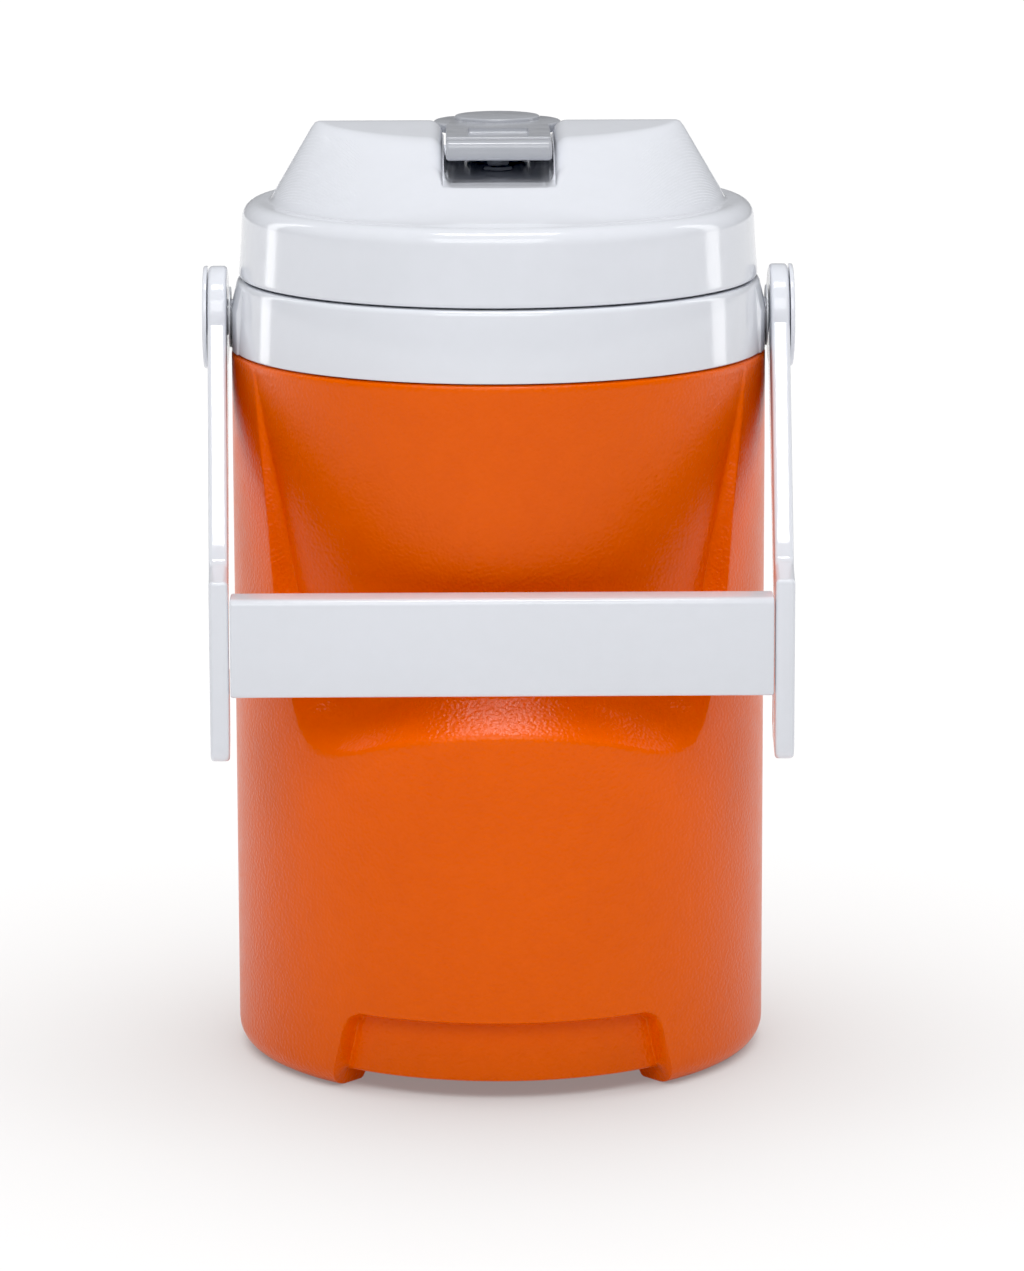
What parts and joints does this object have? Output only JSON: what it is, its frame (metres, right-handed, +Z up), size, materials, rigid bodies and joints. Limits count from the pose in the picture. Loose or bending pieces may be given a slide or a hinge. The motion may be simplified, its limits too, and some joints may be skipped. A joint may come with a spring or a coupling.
{
  "type": "insulated drinks dispenser jug",
  "caption": "Insulated round drinks jug with a screw lid, flip cap over a spout, and a swinging bail handle with hooks to hang it.",
  "frame": {"origin": "centre of the base, on the jug's axis, where it stands on a table", "axes": "+Z up along the jug's axis, -Y towards the side the handle rests on and the drinking channel opens to, +X to the right seen from there"},
  "size_m": [0.1654, 0.162, 0.2637],
  "materials": {
    "body_orange": "fine pebble grain, semi-matt",
    "white_gloss": "smooth, semi-gloss",
    "liner_white": "smooth, food-safe liner",
    "spout_grey": "smooth satin",
    "silicone": "soft matt",
    "foam": "rigid cellular foam",
    "pin_steel": "plain drawn wire"
  },
  "bodies": {
    "jug": {"outer_shell": "body_orange", "body_foam": "foam", "inner_liner": "liner_white", "fill_plug": "body_orange", "collar": "white_gloss", "pivot_button_left": "white_gloss", "pivot_button_right": "white_gloss", "pivot_washer_left": "liner_white", "pivot_washer_right": "liner_white"},
    "handle": {"handle_arm_left": "white_gloss", "handle_arm_right": "white_gloss", "grip_bar": "white_gloss"},
    "lid_seal": {"lid_gasket": "silicone"},
    "lid": {"lid_shell": "white_gloss", "lid_inner": "liner_white", "lid_foam": "foam", "drink_spout": "spout_grey", "vent_valve": "silicone", "hinge_pin": "pin_steel"},
    "flip_cap": {"flip_cap": "spout_grey", "spout_plug": "silicone", "vent_plug": "silicone"}
  },
  "joints": [
    {"name": "handle_swing", "type": "hinge", "parent": "jug", "child": "handle", "pos_m": [0, 0, 0.2085], "axis": [-1, 0, 0], "range_deg": [0, 250]},
    {"name": "lid_rise", "type": "slide", "parent": "jug", "child": "lid_seal", "axis": [0, 0, 1], "range_m": [0, 0.049]},
    {"name": "lid_turn", "type": "hinge", "parent": "lid_seal", "child": "lid", "pos_m": [0, 0, 0.2205], "axis": [0, 0, 1], "range_deg": [0, 1080]},
    {"name": "cap_flip", "type": "hinge", "parent": "lid", "child": "flip_cap", "pos_m": [0, 0.0305, 0.2565], "axis": [-1, 0, 0], "range_deg": [0, 135]}
  ],
  "couplings": [
    {"joint": "lid_rise", "follows": "lid_turn", "m_per_rad": 0.0025465}
  ]
}
